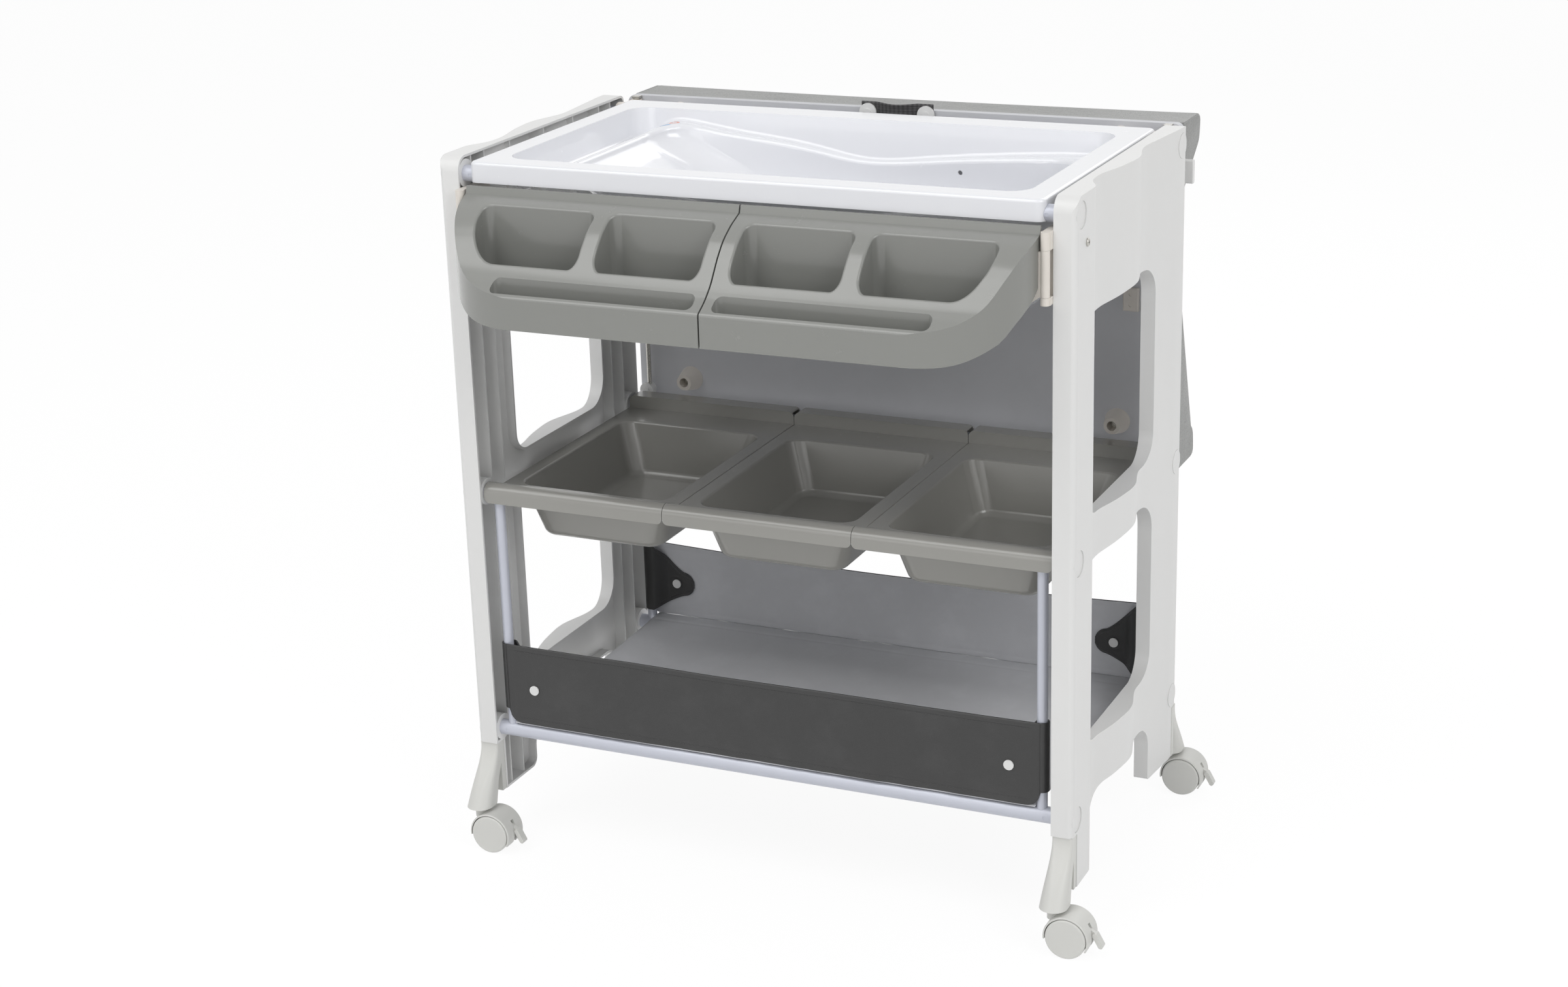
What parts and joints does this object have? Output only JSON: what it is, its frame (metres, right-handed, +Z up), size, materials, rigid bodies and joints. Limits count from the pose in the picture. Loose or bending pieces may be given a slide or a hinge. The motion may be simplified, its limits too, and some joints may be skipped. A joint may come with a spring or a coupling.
{
  "type": "changing table with bathtub",
  "caption": "Baby changing table on casters with a built-in bathtub, swing-out toiletry trays, storage trays, a fabric shelf and a padded mat that folds over the tub.",
  "frame": {"origin": "on the floor, midway between the two side panels and midway between their front and rear edges", "axes": "+X to the right as the user stands at the toiletry trays, +Y away from the user to the changing mat, +Z up"},
  "size_m": [0.8505, 0.679, 0.897],
  "materials": {
    "panel_white": "fine satin moulded surface",
    "foot_beige": "matt moulded",
    "tube_silver": "satin silver powder coat",
    "hidden_plastic": "matt moulded",
    "bolt_steel": "zinc plated",
    "tub_white": "smooth, softly glossy",
    "plug_white": "smooth moulded",
    "tray_dark": "fine satin moulded surface",
    "tray_grey": "fine satin moulded surface",
    "bracket_white": "smooth moulded",
    "shelf_cloth": "woven, coated inside",
    "snap_steel": "bright cap",
    "board_grey": "smooth sheet",
    "mat_vinyl": "soft smooth vinyl",
    "strap_dark": "woven webbing",
    "disc_white": "smooth moulded",
    "caster_white": "smooth moulded"
  },
  "bodies": {
    "frame": {"side_panel_left": "panel_white", "side_panel_right": "panel_white", "foot_front_left": "foot_beige", "foot_front_right": "foot_beige", "foot_rear_left": "foot_beige", "foot_rear_right": "foot_beige", "tube_front_top": "tube_silver", "tube_front_middle": "tube_silver", "tube_front_bottom": "tube_silver", "tube_rear_top": "tube_silver", "tube_rear_middle": "tube_silver", "tube_rear_bottom": "tube_silver", "upright_front_left": "tube_silver", "upright_front_right": "tube_silver", "upright_rear_left": "tube_silver", "upright_rear_right": "tube_silver", "tube_plugs": "hidden_plastic", "panel_bolts": "bolt_steel", "panel_caps": "panel_white", "bathtub": "tub_white", "storage_tray_left": "tray_dark", "storage_tray_middle": "tray_dark", "storage_tray_right": "tray_dark", "tray_bracket_left": "bracket_white", "tray_bracket_right": "bracket_white", "tray_pins": "bolt_steel", "bracket_screws": "bolt_steel", "shelf_front": "shelf_cloth", "shelf_rear": "shelf_cloth", "shelf_floor": "shelf_cloth", "shelf_tabs": "shelf_cloth", "shelf_snaps": "snap_steel"},
    "drain_plug": {"drain_plug": "plug_white"},
    "toiletry_tray_left": {"toiletry_tray_left": "tray_grey", "tray_arm_left": "bracket_white"},
    "toiletry_tray_right": {"toiletry_tray_right": "tray_grey", "tray_arm_right": "bracket_white"},
    "mat_hinge": {"hinge_arms": "bracket_white"},
    "changing_mat": {"mat_board": "board_grey", "mat_cushion": "mat_vinyl", "guide_rods": "bolt_steel", "mat_clips": "bracket_white", "mat_feet": "bracket_white", "mat_screws": "bolt_steel", "mat_keepers": "bracket_white", "mat_catches": "bracket_white", "strap_handle": "strap_dark", "strap_discs": "disc_white"},
    "caster_front_left": {"caster_front_left_fork": "caster_white"},
    "wheels_front_left": {"caster_front_left_wheels": "caster_white"},
    "brake_front_left": {"caster_front_left_brake": "caster_white"},
    "caster_front_right": {"caster_front_right_fork": "caster_white"},
    "wheels_front_right": {"caster_front_right_wheels": "caster_white"},
    "brake_front_right": {"caster_front_right_brake": "caster_white"},
    "caster_rear_left": {"caster_rear_left_fork": "caster_white"},
    "wheels_rear_left": {"caster_rear_left_wheels": "caster_white"},
    "brake_rear_left": {"caster_rear_left_brake": "caster_white"},
    "caster_rear_right": {"caster_rear_right_fork": "caster_white"},
    "wheels_rear_right": {"caster_rear_right_wheels": "caster_white"},
    "brake_rear_right": {"caster_rear_right_brake": "caster_white"}
  },
  "joints": [
    {"name": "drain_plug_pull", "type": "slide", "parent": "frame", "child": "drain_plug", "axis": [0, 0, 1], "range_m": [0, 0.03]},
    {"name": "tray_right_swing", "type": "hinge", "parent": "frame", "child": "toiletry_tray_right", "pos_m": [0.367, -0.224, 0.8], "axis": [0, 0, 1], "range_deg": [0, 90]},
    {"name": "tray_left_swing", "type": "hinge", "parent": "frame", "child": "toiletry_tray_left", "pos_m": [-0.367, -0.224, 0.8], "axis": [0, 0, -1], "range_deg": [0, 90]},
    {"name": "mat_fold", "type": "hinge", "parent": "frame", "child": "mat_hinge", "pos_m": [0, 0.197, 0.873], "axis": [1, 0, 0], "range_deg": [0, 90]},
    {"name": "mat_lift", "type": "slide", "parent": "mat_hinge", "child": "changing_mat", "axis": [0, 0, 1], "range_m": [0, 0.38]},
    {"name": "swivel_front_left", "type": "hinge", "parent": "frame", "child": "caster_front_left", "pos_m": [-0.3865, -0.239, 0.064], "axis": [0, 0, 1], "continuous": true},
    {"name": "roll_front_left", "type": "hinge", "parent": "caster_front_left", "child": "wheels_front_left", "pos_m": [-0.3675, -0.239, 0.025], "axis": [0, 1, 0], "continuous": true},
    {"name": "brake_front_left_press", "type": "hinge", "parent": "caster_front_left", "child": "brake_front_left", "pos_m": [-0.34683, -0.239, 0.03252], "axis": [0, 1, 0], "range_deg": [-18, 0]},
    {"name": "swivel_front_right", "type": "hinge", "parent": "frame", "child": "caster_front_right", "pos_m": [0.3865, -0.239, 0.064], "axis": [0, 0, 1], "continuous": true},
    {"name": "roll_front_right", "type": "hinge", "parent": "caster_front_right", "child": "wheels_front_right", "pos_m": [0.4055, -0.239, 0.025], "axis": [0, 1, 0], "continuous": true},
    {"name": "brake_front_right_press", "type": "hinge", "parent": "caster_front_right", "child": "brake_front_right", "pos_m": [0.42617, -0.239, 0.03252], "axis": [0, 1, 0], "range_deg": [-18, 0]},
    {"name": "swivel_rear_left", "type": "hinge", "parent": "frame", "child": "caster_rear_left", "pos_m": [-0.3865, 0.239, 0.064], "axis": [0, 0, 1], "continuous": true},
    {"name": "roll_rear_left", "type": "hinge", "parent": "caster_rear_left", "child": "wheels_rear_left", "pos_m": [-0.3675, 0.239, 0.025], "axis": [0, 1, 0], "continuous": true},
    {"name": "brake_rear_left_press", "type": "hinge", "parent": "caster_rear_left", "child": "brake_rear_left", "pos_m": [-0.34683, 0.239, 0.03252], "axis": [0, 1, 0], "range_deg": [-18, 0]},
    {"name": "swivel_rear_right", "type": "hinge", "parent": "frame", "child": "caster_rear_right", "pos_m": [0.3865, 0.239, 0.064], "axis": [0, 0, 1], "continuous": true},
    {"name": "roll_rear_right", "type": "hinge", "parent": "caster_rear_right", "child": "wheels_rear_right", "pos_m": [0.4055, 0.239, 0.025], "axis": [0, 1, 0], "continuous": true},
    {"name": "brake_rear_right_press", "type": "hinge", "parent": "caster_rear_right", "child": "brake_rear_right", "pos_m": [0.42617, 0.239, 0.03252], "axis": [0, 1, 0], "range_deg": [-18, 0]}
  ]
}
